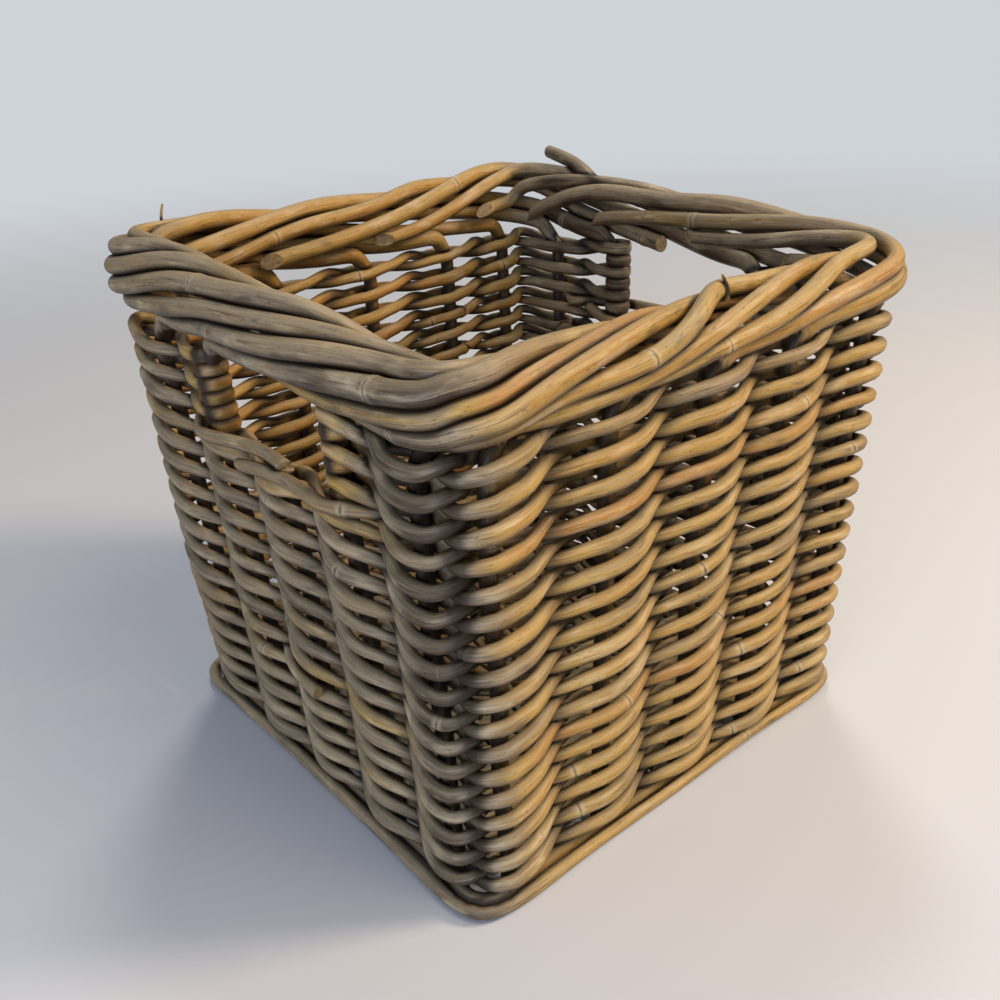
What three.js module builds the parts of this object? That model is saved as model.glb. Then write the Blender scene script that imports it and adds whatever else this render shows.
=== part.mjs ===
// Square storage basket of whole rattan cane, with a hand hole in two opposite walls.
// Millimetres, +Z up, origin at the centre of the base on the floor.
// Twenty upright stakes carry seventeen rounds of pairing weave: two strands that cross between
// the stakes, one outside and one inside. Above the weave each stake turns over and is laid round
// the border. Places on the wall are given by travel, counted in stake spaces counter-clockwise
// from the front left corner, by offset, outwards from the middle of the wall, and by height.
import * as THREE from "three";

// Canes
const strandRadius = 3.1;
const stakeRadius = 4;
const borderRodRadius = 4.8;
const baseHoopRadius = 5;
const baseStickRadius = 3.5;
const baseCaneHalfThickness = 2.2;
const clearance = 0.3;

// Body
const topHalfWidth = 137.5;
const bottomHalfWidth = 127;
const weaveCornerRadius = 10;
const borderCornerRadius = 20;
const stakesPerWall = 5;
const fullRoundCount = 14;
const handleRoundCount = 3;

// Places of the stakes along a wall, in stake spaces from its first corner. They stand close to
// the corners, and the hand holes lie a little towards the front.
const frontStakePlaces = [0.29, 1.45, 2.56, 3.6, 4.71];
const backStakePlaces = [0.27, 1.15, 2.24, 3.35, 4.45];
const handleStakePlaces = [0.36, 1.31, 2.31, 3.31, 4.29];

// Border: each rod is laid round an oval core, one lay further on for each stake that it passes.
// The start is in stake spaces past the stake, and the bend and the ratios in rod radii.
const borderSpan = 5;
const borderRodSpare = 1.6;
const borderWidthRatio = 2.2;
const borderHeightRatio = 3.2;
const borderInset = 3;
const borderStart = 0.2;
const stakeBendForward = 0.7;
const stakeBendRise = 0.8;

// Base mat: sticks and canes are spread evenly between the margins inside the hoop
const baseStickCount = 7;
const baseStickMargin = 25;
const baseCaneCount = 9;
const baseCaneMargin = 4;
const baseCaneGap = 1;

// Colours
const weaveColour = 0xa98757;
const stakeColour = 0x8d6f4a;
const borderColour = 0x9d8461;
const baseColour = 0x86694a;

// Worked out from the sizes above
const wallCount = 4;
const stakeCount = wallCount * stakesPerWall;
const strandLift = strandRadius + clearance / 2;
const roundPitch = 4 * strandRadius + 2 * clearance;
const baseHoopHeight = baseHoopRadius;
const firstRoundHeight = 2 * baseHoopRadius + clearance + strandLift + strandRadius;
const roundCount = fullRoundCount + handleRoundCount;
const topRoundHeight = firstRoundHeight + (roundCount - 1) * roundPitch;
const hexagonFlat = Math.cos(Math.PI / 6);
const strandReach = stakeRadius + strandRadius + clearance;
const borderLay = 2 * borderRodRadius + borderRodSpare;
const borderHalfThickness = borderWidthRatio * borderRodRadius;
const borderHalfHeight = borderHeightRatio * borderRodRadius;
const borderFoot = topRoundHeight + strandLift + strandRadius + clearance + borderRodRadius;
const borderHeart = borderFoot + borderHalfHeight;
const stakeShoulder = borderFoot - borderRodRadius - clearance;
const wallNames = ["front", "right", "back", "left"];
const handleWalls = [1, 3];
const middleStakeNumber = (stakesPerWall - 1) / 2;
const stakePlaces = [
  frontStakePlaces,
  handleStakePlaces,
  backStakePlaces,
  handleStakePlaces.map((place) => stakesPerWall - place).reverse(),
];

function halfWidthAt(height) {
  const share = (height - firstRoundHeight) / (topRoundHeight - firstRoundHeight);
  return bottomHalfWidth + (topHalfWidth - bottomHalfWidth) * share;
}

// Travel of a place counted in stakes: half numbers are stakes, and a whole number is the
// crossing midway between two stakes or at a corner
function travelOf(count) {
  const round = ((count % stakeCount) + stakeCount) % stakeCount;
  const wall = Math.floor(round / stakesPerWall);
  const start = wall * stakesPerWall;
  const places = [0, ...stakePlaces[wall], stakesPerWall];
  const counts = places.map((_, knot) => Math.min(Math.max(knot - 0.5, 0), stakesPerWall));
  const knot = Math.min(Math.floor(round - start + 0.5), stakesPerWall);
  const share = (round - start - counts[knot]) / (counts[knot + 1] - counts[knot]);
  return start + places[knot] + share * (places[knot + 1] - places[knot]);
}

// Point and outward direction on the middle line of the wall
function wallPlace(travel, halfWidth, cornerRadius) {
  const round = ((travel % stakeCount) + stakeCount) % stakeCount;
  const wall = Math.floor(round / stakesPerWall);
  const along = ((2 * (round - wall * stakesPerWall)) / stakesPerWall - 1) * halfWidth;
  const straight = halfWidth - cornerRadius;
  const past = Math.max(0, Math.abs(along) - straight);
  const turn = (Math.sign(along) * past * Math.PI) / (4 * cornerRadius);
  const place = new THREE.Vector3(
    Math.sign(along) * Math.min(Math.abs(along), straight) + cornerRadius * Math.sin(turn),
    -straight - cornerRadius * Math.cos(turn),
    0,
  );
  const outward = new THREE.Vector3(Math.sin(turn), -Math.cos(turn), 0);
  const up = new THREE.Vector3(0, 0, 1);
  place.applyAxisAngle(up, (wall * Math.PI) / 2);
  outward.applyAxisAngle(up, (wall * Math.PI) / 2);
  return { place, outward };
}

// One section of a cane: its centre and the two half axes of its outline
function section(centre, side, rise) {
  return { centre, side, rise };
}

function wallSection(travel, offset, height, radius, halfWidth, cornerRadius) {
  const { place, outward } = wallPlace(travel, halfWidth, cornerRadius);
  const centre = place.addScaledVector(outward, offset).setZ(height);
  return section(centre, outward.clone().multiplyScalar(radius), new THREE.Vector3(0, 0, radius));
}

// Closed mesh through a row of sections, each a polygon of the given number of sides
function caneGeometry(sections, sides, startAngle = 0) {
  const points = [];
  for (const { centre, side, rise } of sections) {
    for (let corner = 0; corner < sides; corner += 1) {
      const angle = startAngle + (2 * Math.PI * corner) / sides;
      const point = centre.clone();
      point.addScaledVector(side, Math.cos(angle));
      point.addScaledVector(rise, Math.sin(angle));
      points.push(point);
    }
  }
  const faces = [];
  const last = sections.length - 1;
  for (let ring = 0; ring < last; ring += 1) {
    for (let corner = 0; corner < sides; corner += 1) {
      const next = (corner + 1) % sides;
      const a = ring * sides + corner;
      const b = ring * sides + next;
      faces.push([a, b, b + sides], [a, b + sides, a + sides]);
    }
  }
  for (let corner = 1; corner < sides - 1; corner += 1) {
    faces.push([0, corner + 1, corner]);
    faces.push([last * sides, last * sides + corner, last * sides + corner + 1]);
  }
  return facingOut(points, faces);
}

// Closed mesh through sections that come back to the first one
function hoopGeometry(sections, sides, startAngle) {
  const points = [];
  const faces = [];
  const rings = sections.length;
  sections.forEach(({ centre, side, rise }, ring) => {
    for (let corner = 0; corner < sides; corner += 1) {
      const angle = startAngle + (2 * Math.PI * corner) / sides;
      const point = centre.clone();
      point.addScaledVector(side, Math.cos(angle));
      point.addScaledVector(rise, Math.sin(angle));
      points.push(point);
      const next = (corner + 1) % sides;
      const after = ((ring + 1) % rings) * sides;
      const a = ring * sides + corner;
      const b = ring * sides + next;
      faces.push([a, b, after + next], [a, after + next, after + corner]);
    }
  });
  return facingOut(points, faces);
}

// Turns the faces round if the mesh they close is inside out
function facingOut(points, faces) {
  const volume = faces.reduce((sum, [a, b, c]) => {
    const cross = new THREE.Vector3().crossVectors(points[b], points[c]);
    return sum + points[a].dot(cross);
  }, 0);
  const order = volume < 0 ? faces.map(([a, b, c]) => [a, c, b]) : faces;
  const geometry = new THREE.BufferGeometry();
  geometry.setAttribute(
    "position",
    new THREE.Float32BufferAttribute(points.flatMap((point) => point.toArray()), 3),
  );
  geometry.setIndex(order.flat());
  geometry.computeVertexNormals();
  return geometry;
}

// The strand that is outside the first stake is inside the next, and so on
function isOutside(stake, strand) {
  return (stake + strand) % 2 === 0;
}

// On the front and back walls a strand goes in over its partner, on the handle walls under it
function passesOver(crossing) {
  const wall = Math.floor((crossing % stakeCount) / stakesPerWall);
  return wall % 2 === 0;
}

function weaveSection(travel, offset, height) {
  const halfWidth = halfWidthAt(height);
  return wallSection(travel, offset, height, strandRadius, halfWidth, weaveCornerRadius);
}

// Sections of one strand of a pair, at both edges of every stake's flat and at every crossing
function pairedStrand(firstStake, lastStake, height, strand) {
  const sections = [];
  const halfFlat = (stakeRadius * stakesPerWall) / (4 * halfWidthAt(height));
  for (let stake = firstStake; stake <= lastStake; stake += 1) {
    const outside = isOutside(stake, strand);
    const reach = outside ? strandReach : -strandReach;
    const travel = travelOf(stake + 0.5);
    sections.push(weaveSection(travel - halfFlat, reach, height));
    sections.push(weaveSection(travel + halfFlat, reach, height));
    if (stake < lastStake) {
      const over = passesOver(stake + 1) === outside;
      const lift = over ? strandLift : -strandLift;
      sections.push(weaveSection(travelOf(stake + 1), 0, height + lift));
    }
  }
  return sections;
}

// Sections of a strand that turns round the side of a stake, from the outside to the inside
function strandTurn(stake, height, direction) {
  const halfWidth = halfWidthAt(height);
  const { place, outward } = wallPlace(travelOf(stake + 0.5), halfWidth, weaveCornerRadius);
  const along = new THREE.Vector3(-outward.y, outward.x, 0).multiplyScalar(direction);
  const rise = new THREE.Vector3(0, 0, strandRadius);
  const turnSteps = 4;
  return [1, 2, 3].map((step) => {
    const angle = (Math.PI * step) / turnSteps;
    const side = outward.clone().multiplyScalar(Math.cos(angle));
    side.addScaledVector(along, Math.sin(angle));
    const centre = place.clone().addScaledVector(side, strandReach).setZ(height);
    return section(centre, side.multiplyScalar(strandRadius), rise.clone());
  });
}

// The same sections faced the other way, for a strand that has turned back on its other half
function turnedBack(sections) {
  return sections.map(({ centre, side, rise }) => section(centre, side.clone().negate(), rise));
}

// A full round: one weaver folded round a stake, its two halves paired all the way back to it
function fullRound(foldStake, height) {
  const endShare = 0.5;
  const halves = [0, 1].map((strand) => {
    const sections = pairedStrand(foldStake, foldStake + stakeCount - 1, height, strand);
    const outside = isOutside(foldStake + stakeCount - 1, strand);
    const over = passesOver(foldStake + stakeCount) === outside;
    const reach = (outside ? strandReach : -strandReach) * endShare;
    const lift = (over ? strandLift : -strandLift) * endShare;
    const travel = travelOf(foldStake + stakeCount - endShare / 2);
    sections.push(weaveSection(travel, reach, height + lift));
    return sections;
  });
  const outer = isOutside(foldStake, 0) ? 0 : 1;
  const turn = strandTurn(foldStake, height, -1);
  return [...halves[outer].reverse(), ...turn, ...turnedBack(halves[1 - outer])];
}

// A short round beside the hand holes: folded round the first stake, and its tails turned round
// the last one until they meet behind it
function handleRound(firstStake, lastStake, height) {
  const halves = [0, 1].map((strand) => pairedStrand(firstStake, lastStake, height, strand));
  const outer = isOutside(firstStake, 0) ? 0 : 1;
  const lastOuter = isOutside(lastStake, 0) ? 0 : 1;
  const turn = strandTurn(firstStake, height, -1);
  const tail = strandTurn(lastStake, height, 1);
  const sections = [...halves[outer].reverse(), ...turn, ...turnedBack(halves[1 - outer])];
  const meet = lastOuter === outer ? sections[sections.length - 1] : sections[0];
  const { outward } = wallPlace(travelOf(lastStake + 0.5), halfWidthAt(height), weaveCornerRadius);
  const along = new THREE.Vector3(-outward.y, outward.x, 0);
  meet.centre.addScaledVector(along, -clearance);
  const reach = meet.centre.clone().addScaledVector(along, 2 * clearance);
  const end = section(reach, meet.side.clone(), meet.rise.clone());
  return lastOuter === outer
    ? [end, ...tail.reverse(), ...sections]
    : [...sections, ...turnedBack(tail), end];
}

// Place on the oval round the border's core, at a distance along it from the foot. A distance
// below nought is on the inner side of the foot.
function borderPlace(distance) {
  const steps = 400;
  const way = Math.sign(distance);
  let travelled = 0;
  let offset = 0;
  let height = -borderHalfHeight;
  for (let step = 1; step <= 2 * steps && travelled < Math.abs(distance); step += 1) {
    const angle = -Math.PI / 2 + (Math.PI * step) / steps;
    const nextOffset = borderHalfThickness * Math.cos(angle);
    const nextHeight = borderHalfHeight * Math.sin(angle);
    travelled += Math.hypot(nextOffset - offset, nextHeight - height);
    offset = nextOffset;
    height = nextHeight;
  }
  return { offset: way * offset - borderInset, height: borderHeart + height };
}

function borderSection(stake, passed) {
  const { offset, height } = borderPlace(passed * borderLay);
  const travel = stake + 0.5 + passed;
  const halfWidth = halfWidthAt(borderFoot);
  return wallSection(travel, offset, height, borderRodRadius, halfWidth, borderCornerRadius);
}

// Sections of a rod laid round the border from a start past its stake's even place, closer where
// it turns a corner
function borderRun(stake, start) {
  const cornerShare = (borderCornerRadius * stakesPerWall) / (2 * halfWidthAt(borderFoot));
  const halfSpace = 0.5;
  const stops = [start];
  for (let stop = halfSpace; stop <= borderSpan; stop += halfSpace) {
    const atCorner = (stake + halfSpace + stop) % stakesPerWall === 0;
    if (atCorner && stop - cornerShare > start) stops.push(stop - cornerShare);
    if (stop > start) stops.push(stop);
    if (atCorner && stop < borderSpan) stops.push(stop + cornerShare);
  }
  return stops.map((stop) => borderSection(stake, stop));
}

// Level section of a stake at a height
function stakeSection(stake, height) {
  const { place, outward } = wallPlace(travelOf(stake + 0.5), halfWidthAt(height), weaveCornerRadius);
  const along = new THREE.Vector3(-outward.y, outward.x, 0);
  const centre = place.setZ(height);
  return section(centre, along.multiplyScalar(stakeRadius), outward.multiplyScalar(stakeRadius));
}

// A stake up the wall, turned over at the shoulder and laid round the border
function stakeAndBorder(stake) {
  const foot = stakeSection(stake, 2 * baseHoopRadius + clearance);
  const shoulder = stakeSection(stake, stakeShoulder);
  const halfWidth = halfWidthAt(borderFoot);
  const ahead = travelOf(stake + 0.5) - (stake + 0.5);
  const bendPassed = ahead + (borderRodRadius * stakeBendForward * stakesPerWall) / (2 * halfWidth);
  const lay = borderPlace(bendPassed * borderLay);
  const { place, outward } = wallPlace(stake + 0.5 + bendPassed, halfWidth, borderCornerRadius);
  const along = new THREE.Vector3(-outward.y, outward.x, 0);
  const bend = place.addScaledVector(outward, lay.offset);
  bend.z = lay.height + borderRodRadius * (stakeBendRise - 1);
  const slope = along.clone().add(new THREE.Vector3(0, 0, -1)).normalize();
  const run = borderRun(stake, ahead + borderStart);
  return [
    foot,
    shoulder,
    section(bend, slope.multiplyScalar(borderRodRadius), outward.clone().multiplyScalar(borderRodRadius)),
    ...run.map(({ centre, side, rise }) => section(centre, rise.clone().negate(), side)),
  ];
}

function stakeStub(stake) {
  const foot = stakeSection(stake, 2 * baseHoopRadius + clearance);
  const stubTop = firstRoundHeight + (fullRoundCount - 1) * roundPitch + strandLift + strandRadius;
  return [foot, stakeSection(stake, stubTop)];
}

function baseHoop() {
  const halfWidth = halfWidthAt(baseHoopHeight);
  const radius = baseHoopRadius / Math.cos(Math.PI / 8);
  const cornerShare = (weaveCornerRadius * stakesPerWall) / (2 * halfWidth);
  const stops = [];
  for (let corner = 0; corner < wallCount; corner += 1) {
    const travel = corner * stakesPerWall;
    stops.push(travel - cornerShare, travel, travel + cornerShare);
  }
  return stops.map((travel) =>
    wallSection(travel, 0, baseHoopHeight, radius, halfWidth, weaveCornerRadius),
  );
}

// Base mat: sticks from wall to wall, and flat canes that go over one stick and under the next.
// Each cane is doubled back at one side, so it makes two neighbouring passes.
const baseInnerHalf = halfWidthAt(baseHoopHeight) - baseHoopRadius - clearance;
const baseStickSpacing = (2 * (baseInnerHalf - baseStickMargin)) / (baseStickCount - 1);
const baseCanePitch = (baseInnerHalf - baseCaneMargin) / baseCaneCount;
const baseCaneHalfWidth = (baseCanePitch - baseCaneGap) / 2;
const baseWave =
  (baseStickRadius * hexagonFlat + baseCaneHalfThickness + clearance) /
  (1 - baseStickRadius / baseStickSpacing);
const baseStickHeight = clearance + baseCaneHalfThickness + baseWave;
const outerStickPlace = baseInnerHalf - baseStickMargin;

function baseStick(number) {
  const y = number * baseStickSpacing - outerStickPlace;
  const side = new THREE.Vector3(0, baseStickRadius, 0);
  const rise = new THREE.Vector3(0, 0, baseStickRadius);
  return [-1, 1].map((end) =>
    section(new THREE.Vector3(end * baseInnerHalf, y, baseStickHeight), side.clone(), rise.clone()),
  );
}

// The first pass and the way back of one flat cane, with the turn between them
function baseCane(number) {
  const firstX = (2 * number - (2 * baseCaneCount - 1) / 2) * baseCanePitch;
  const tailY = baseInnerHalf - clearance;
  const turnDirection = number % 2 === 0 ? 1 : -1;
  const rise = new THREE.Vector3(0, 0, baseCaneHalfThickness);
  const at = (x, y, height, sideX, sideY) =>
    section(
      new THREE.Vector3(x, turnDirection * y, baseStickHeight + height),
      new THREE.Vector3(sideX, turnDirection * sideY, 0).multiplyScalar(baseCaneHalfWidth),
      rise.clone(),
    );
  const passes = [0, 1].map((pass) => {
    const x = firstX + pass * baseCanePitch;
    const stations = [at(x, -tailY, 0, 1, 0)];
    for (let stick = 0; stick < baseStickCount; stick += 1) {
      const over = (stick + pass) % 2 === 0;
      const y = stick * baseStickSpacing - outerStickPlace;
      stations.push(at(x, y, over ? baseWave : -baseWave, 1, 0));
    }
    return stations;
  });
  const turnRadius = baseCanePitch / 2;
  const turnY = tailY - turnRadius - baseCaneHalfWidth;
  const turn = [1, 0.5, 0, -0.5, -1].map((cosine) => {
    const sine = Math.sqrt(1 - cosine * cosine);
    const x = firstX + turnRadius * (1 - cosine);
    return at(x, turnY + turnRadius * sine, 0, cosine, -sine);
  });
  const back = passes[1].reverse().map(({ centre, side, rise: up }) => section(centre, side.negate(), up));
  return [...passes[0], ...turn, ...back];
}

function finish(colour, roughness) {
  return new THREE.MeshStandardMaterial({ color: colour, roughness, metalness: 0 });
}

const weaveFinish = finish(weaveColour, 0.6);
const stakeFinish = finish(stakeColour, 0.65);
const borderFinish = finish(borderColour, 0.55);
const baseFinish = finish(baseColour, 0.7);
const basket = new THREE.Group();

function addPiece(name, geometry, material) {
  const mesh = new THREE.Mesh(geometry, material);
  mesh.name = name;
  basket.add(mesh);
}

addPiece("base_hoop", hoopGeometry(baseHoop(), 8, Math.PI / 8), baseFinish);
for (let number = 0; number < baseStickCount; number += 1) {
  addPiece(`base_stick_${number + 1}`, caneGeometry(baseStick(number), 6), baseFinish);
}
for (let number = 0; number < baseCaneCount; number += 1) {
  addPiece(`base_weaver_${number + 1}`, caneGeometry(baseCane(number), 4), baseFinish);
}

for (let wall = 0; wall < wallCount; wall += 1) {
  for (let number = 0; number < stakesPerWall; number += 1) {
    const stake = wall * stakesPerWall + number;
    const name = `stake_${wallNames[wall]}_${number + 1}`;
    const cutShort = handleWalls.includes(wall) && number === middleStakeNumber;
    const sections = cutShort ? stakeStub(stake) : stakeAndBorder(stake);
    addPiece(name, caneGeometry(sections, 6), stakeFinish);
    if (cutShort) {
      const rod = borderRun(stake, borderStart);
      addPiece(`handle_rod_${wallNames[wall]}`, caneGeometry(rod, 6), borderFinish);
    }
  }
}

for (let round = 0; round < fullRoundCount; round += 1) {
  const foldStake = 2 * stakesPerWall - 1 + (round % 2) * 2;
  const height = firstRoundHeight + round * roundPitch;
  const name = `weaver_round_${String(round + 1).padStart(2, "0")}`;
  addPiece(name, caneGeometry(fullRound(foldStake, height), 4), weaveFinish);
}

// The hand holes lie between the stakes on either side of the two that are cut short
const halves = [
  { name: "back", first: stakesPerWall + middleStakeNumber + 1 },
  { name: "front", first: 3 * stakesPerWall + middleStakeNumber + 1 },
];
for (const { name, first } of halves) {
  const last = first + 2 * stakesPerWall - 2;
  for (let round = 0; round < handleRoundCount; round += 1) {
    const height = firstRoundHeight + (fullRoundCount + round) * roundPitch;
    const geometry = caneGeometry(handleRound(first, last, height), 4);
    addPiece(`weaver_${name}_top_${round + 1}`, geometry, weaveFinish);
  }
}

export default basket;
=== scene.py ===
# Square storage basket of whole kubu rattan cane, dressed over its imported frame.
# Working sizes are millimetres and meshes are metres, +Z up. Front is -Y and left is -X.
# Places on the wall are travel (counted in stake spaces, counter-clockwise from the front left
# corner), offset (outwards from the middle of the wall) and height, as in the frame.
import math

import bpy
import numpy as np
from bpy.props import FloatProperty, FloatVectorProperty, PointerProperty
from mathutils import Matrix, Vector
from mathutils.kdtree import KDTree


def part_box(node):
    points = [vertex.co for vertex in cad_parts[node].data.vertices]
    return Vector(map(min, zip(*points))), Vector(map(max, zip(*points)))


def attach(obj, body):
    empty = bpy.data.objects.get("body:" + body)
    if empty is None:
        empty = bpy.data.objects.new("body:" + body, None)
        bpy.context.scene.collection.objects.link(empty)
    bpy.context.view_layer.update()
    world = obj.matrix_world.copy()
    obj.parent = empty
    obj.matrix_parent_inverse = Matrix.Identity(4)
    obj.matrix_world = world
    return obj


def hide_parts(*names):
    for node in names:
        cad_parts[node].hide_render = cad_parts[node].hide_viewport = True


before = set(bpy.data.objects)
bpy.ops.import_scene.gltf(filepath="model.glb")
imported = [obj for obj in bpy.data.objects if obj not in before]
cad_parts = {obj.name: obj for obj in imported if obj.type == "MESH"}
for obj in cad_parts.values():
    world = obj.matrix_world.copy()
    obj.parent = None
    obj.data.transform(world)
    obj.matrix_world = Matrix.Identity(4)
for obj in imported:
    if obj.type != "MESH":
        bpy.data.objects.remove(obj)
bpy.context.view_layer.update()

bl_info = {
    "name": "Rattan Storage Basket",
    "version": (1, 0, 0),
    "blender": (4, 5, 0),
    "location": "View3D > Sidebar > Basket",
    "description": "Weaves a square storage basket of whole rattan cane with two hand holes",
    "category": "Add Mesh",
}

MM = 0.001
HEXAGON_FLAT = math.cos(math.pi / 6)


def node_box(name):
    """Lowest and highest corner of a node of the frame, in millimetres."""
    low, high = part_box(name)
    return np.array(low) / MM, np.array(high) / MM


def nodes_called(start):
    """Names of the frame's nodes that start so, in order."""
    return sorted(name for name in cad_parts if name.startswith(start))


# Counts of the weave, read from the frame's nodes
WALLS = ("front", "right", "back", "left")
PER_WALL = len(nodes_called("stake_front_"))
STAKES = PER_WALL * len(WALLS)
FULL_ROUNDS = len(nodes_called("weaver_round_"))
HANDLE_ROUNDS = len(nodes_called("weaver_front_top_"))
ROUNDS = FULL_ROUNDS + HANDLE_ROUNDS
MIDDLE = PER_WALL // 2
SHORT_STAKES = (PER_WALL + MIDDLE, 3 * PER_WALL + MIDDLE)

# Places of the stakes along a wall, in stake spaces from its first corner, as in the frame. Both
# handle walls have theirs at the same distances from the front.
HANDLE_STAKES = (0.36, 1.31, 2.31, 3.31, 4.29)
STAKE_PLACES = (
    (0.29, 1.45, 2.56, 3.6, 4.71),
    HANDLE_STAKES,
    (0.27, 1.15, 2.24, 3.35, 4.45),
    tuple(PER_WALL - place for place in reversed(HANDLE_STAKES)),
)

# Sizes of the frame's canes
_first_low, _first_high = node_box("weaver_round_01")
_last_low, _last_high = node_box(f"weaver_round_{FULL_ROUNDS:02d}")
_stub_low, _stub_high = node_box(f"stake_left_{MIDDLE + 1}")
_hoop_low, _hoop_high = node_box("base_hoop")
_rod_high = node_box("handle_rod_left")[1]
CLEARANCE = 0.3
STRAND_RADIUS = (_first_high[2] - _first_low[2] - CLEARANCE) / 4
STRAND_LIFT = STRAND_RADIUS + CLEARANCE / 2
FIRST_ROUND = (_first_low[2] + _first_high[2]) / 2
ROUND_PITCH = ((_last_low[2] + _last_high[2]) / 2 - FIRST_ROUND) / (FULL_ROUNDS - 1)
TOP_ROUND = FIRST_ROUND + (ROUNDS - 1) * ROUND_PITCH
STAKE_RADIUS = 4.0
FOOT_HALF = -_stub_high[0] + STAKE_RADIUS * HEXAGON_FLAT
WALL_LEAN = (-_stub_low[0] - STAKE_RADIUS * HEXAGON_FLAT - FOOT_HALF) / (_stub_high[2] - _stub_low[2])
HOOP_RADIUS = (_hoop_high[2] - _hoop_low[2]) / 2
STAKE_FOOT = _stub_low[2]
STUB_TOP = _stub_high[2]


def half_width(height):
    """Half the distance between two opposite walls, at their middle, at a height."""
    return FOOT_HALF + WALL_LEAN * (height - STAKE_FOOT)


STAKE_SPACE = 2 * half_width(TOP_ROUND) / PER_WALL
STRAND_REACH = STAKE_RADIUS + STRAND_RADIUS + CLEARANCE + 0.3
WEAVE_CORNER = 10.0
BORDER_CORNER = 20.0

# Base: the hoop is thinner than in the frame and lies further out, most of all at the near corner
HOOP_SHARE = 0.87
HOOP_OUT = 0.6
HOOP_CORNER_OUT = 5.0
BASE_STICK_RADIUS = 3.1
BASE_WEAVER_RADIUS = 2.75

# The short stakes are cut just under the hand holes, where the top full round sags
STUB_SHORTER = 7.0
HOLE_SAG = 3.4
HOLE_SAG_REACH = 0.32

# Canes wrapped round the edges of the hand holes are pressed flat. Strands bend into a wrap and
# gather to its level over these lengths.
WRAP_PRESS = 0.5
# Tones of the wraps, painted light: painted shade at the right hand hole, the orange of warm light at the
# left one
WRAP_SHADE_AND_LIGHT = (0.1, 0.8)
WRAP_REACH = STAKE_RADIUS + 2.1
WRAP_BEND = 16
WRAP_GATHER = 26

# The two canes along the lower edge of a hand hole: travel from the short stake, offset, and height
# from the top round
EDGE_CANE_RADIUS = 3.3
EDGE_CANES = (
    ((-1.62, -7.5, -32.6), (-1.35, 1.0, -32.6), (-1.0, 11.6, -33.0), (-0.6, 7.5, -31.2),
     (-0.3, 4.5, -29.8), (0.0, 4.0, -29.6), (0.22, 5.5, -29.4)),
    ((-0.3, 9.8, -38.0), (0.0, 9.4, -34.8), (0.35, 7.6, -34.6), (0.65, 8.2, -34.2),
     (1.0, 11.9, -33.4), (1.3, 3.0, -32.6), (1.55, -7.5, -32.6)),
)

# Usual tones of the walls, from 0 for grey to 1 for orange, and how much greyer the near corner is.
# The tones are partly painted light: golden on the front and back walls, where the warm lamp falls,
# grey on the right and left walls, which are in shade, and the greyer near corner is painted shade
WALL_TONES_AND_LIGHT = (0.58, 0.0, 0.76, 0.1)
NEAR_CORNER_SHADE = 0.6

# Border: rods laid round an oval core, each rising slowly up the outside and over to the inside
ROD_RADIUS = 4.8
ROD_LAYS = (13.5, 10.5, 9.5, 9.5)
ROD_REACH = 69.0
ROD_START = 0.2
ROD_TAPER = 0.015
BORDER_SPAN = 7.8
BORDER_INSET = 4.0
BORDER_FOOT = TOP_ROUND + STRAND_LIFT + STRAND_RADIUS + CLEARANCE + ROD_RADIUS
BORDER_HALF_HEIGHT = (_rod_high[2] - ROD_RADIUS - BORDER_FOOT) / 2
BORDER_HALF_THICKNESS = 11.8
BORDER_HALF_WIDTH = half_width(BORDER_FOOT)
BEND_BELOW_BORDER = 14
EASE_ROUNDS = 30

# Thickness of every rod as a share of the usual one, and how much its tone differs, from the front
# left corner round
ROD_SHARES = (0.84, 0.86, 0.9, 1.07, 0.9, 0.93, 1.0, 0.94, 1.02, 0.96,
              0.94, 1.02, 0.97, 1.04, 0.99, 1.0, 1.08, 0.8, 0.9, 0.86)
ROD_TONES = (0.05, 0.0, 0.12, 0.1, -0.05, 0.0, -0.1, 0.1, 0.0, 0.05,
             0.05, -0.12, 0.1, 0.0, 0.1, 0.05, -0.1, 0.5, 0.2, 0.0)

# The border was laid by hand: at these travels its crest, foot and outer side stray so far
BORDER_PLACES = (0, 1, 2.5, 4, 5, 7.5, 10, 12.5, 15, 16.3, 17.5, 19)
CREST_STRAY = (-10, -11, -8, -10, -7, 0, 5, 0, 6, 4, -1, -7)
FOOT_STRAY = (-2.5, -2.5, -2.5, -2.5, -1.5, 0, 1, 0, 4, 3, 0, -1.5)
SIDE_STRAY = (1, 1, 1, 2, 4, 1, 0, 0, 0, 0, 0, 1)

# How finely canes are drawn, and where the random draws of each group start
STRAND_STEPS = 18
STRAND_SIDES = 12
ROD_SIDES = 16
TWIG_SIDES = 8
ROD_STEP = 2.5
BASE_SEED, STAKE_SEED, STRAY_SEED, ROUND_SEED = 1, 7, 20, 100
HANDLE_SEEDS = {"back": 300, "front": 350}
EDGE_SEED, END_SEED = 400, 500

# A leaf joint swells the cane by this share over this length
JOINT_SWELL = 0.09
JOINT_LENGTH = 3.2

# Rings of a cut end: share of the cane's width and how far the worn edge stands out
CUT_RINGS = ((1.0, 0.0), (0.9, 0.35), (0.45, 0.35))

# Painted shade is sought this far round, lies in gaps up to this depth, and overlooks the cane's own run
CREVICE_REACH = 13.0
CREVICE_DEPTH = 3.2
OWN_LENGTH = 22.0

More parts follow.
